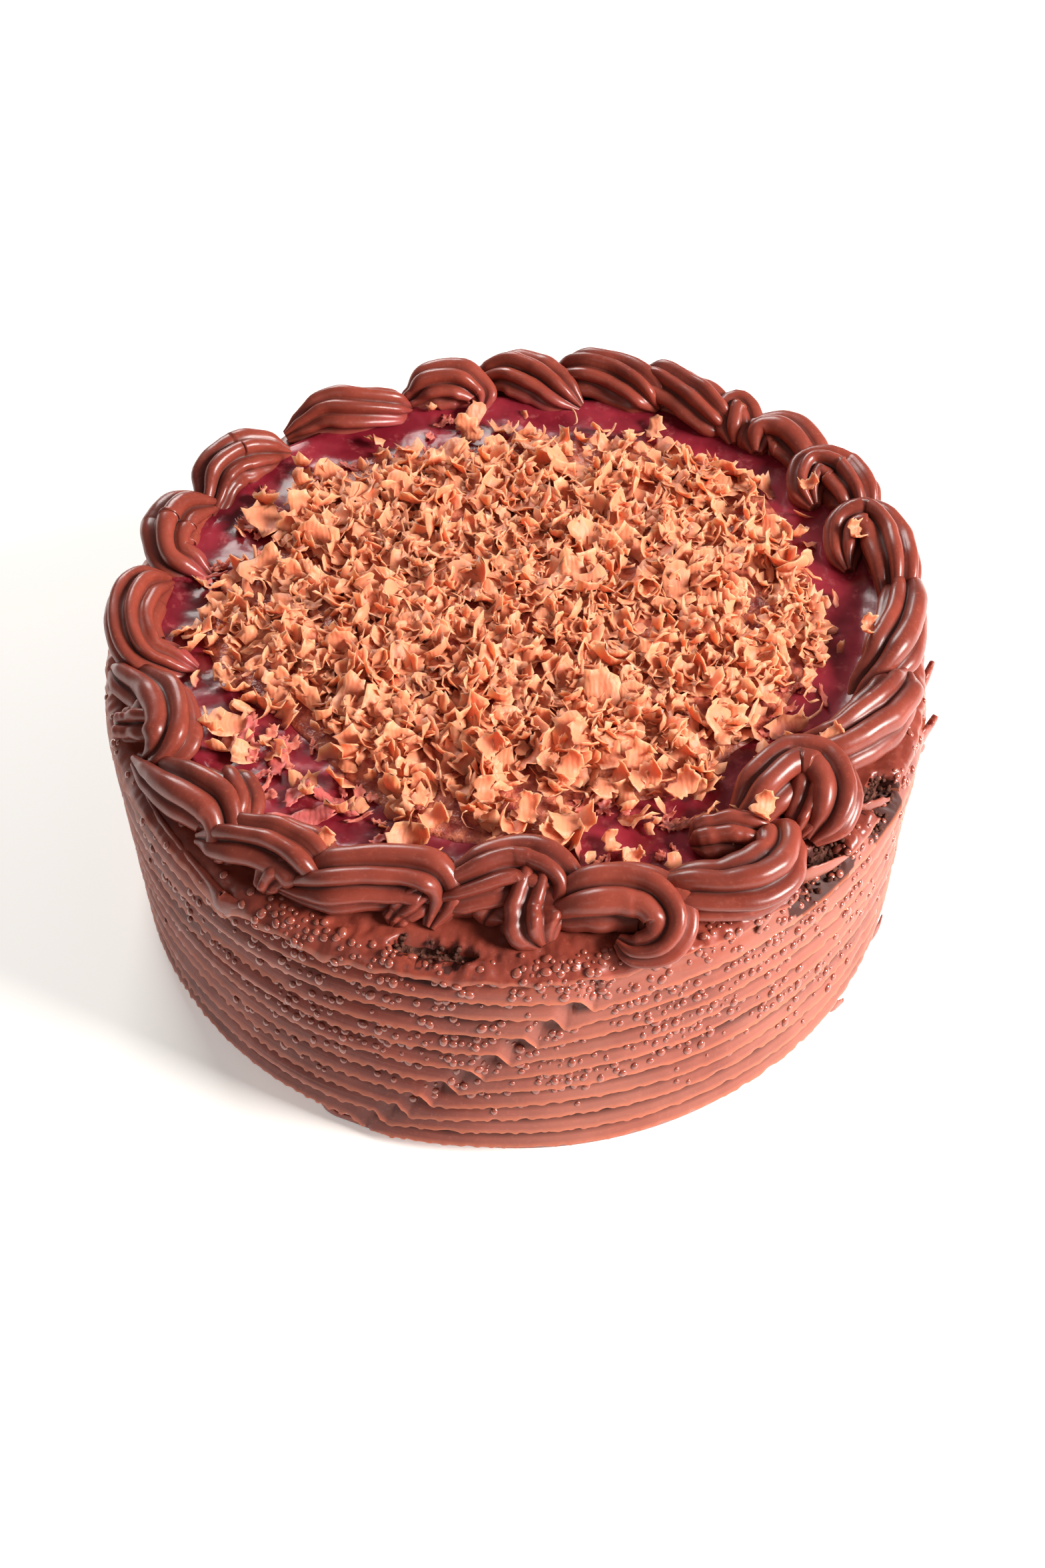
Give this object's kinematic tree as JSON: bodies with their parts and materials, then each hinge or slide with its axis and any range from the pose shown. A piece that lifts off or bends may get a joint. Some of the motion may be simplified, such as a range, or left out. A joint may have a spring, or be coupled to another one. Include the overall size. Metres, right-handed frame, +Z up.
{
  "type": "chocolate cake",
  "caption": "Round chocolate layer cake with comb-ridged frosting, a piped shell border, red jelly glaze and a heap of chocolate shavings.",
  "frame": {"origin": "centre of the cake's flat foot, on the surface it stands on", "axes": "+Z up through the middle of the cake; the comb's seam in the frosting is on the -Y side"},
  "size_m": [0.2123, 0.2093, 0.0959],
  "materials": {
    "sponge": "open dark crumb",
    "frosting": "soft sheen, combed",
    "jelly": "wet gloss, translucent",
    "piping": "soft sheen, piped",
    "shavings": "dry, ragged edges"
  },
  "bodies": {
    "root": {"sponge": "sponge", "frosting": "frosting", "jelly_glaze": "jelly", "piped_border": "piping", "shavings": "shavings"}
  },
  "joints": []
}
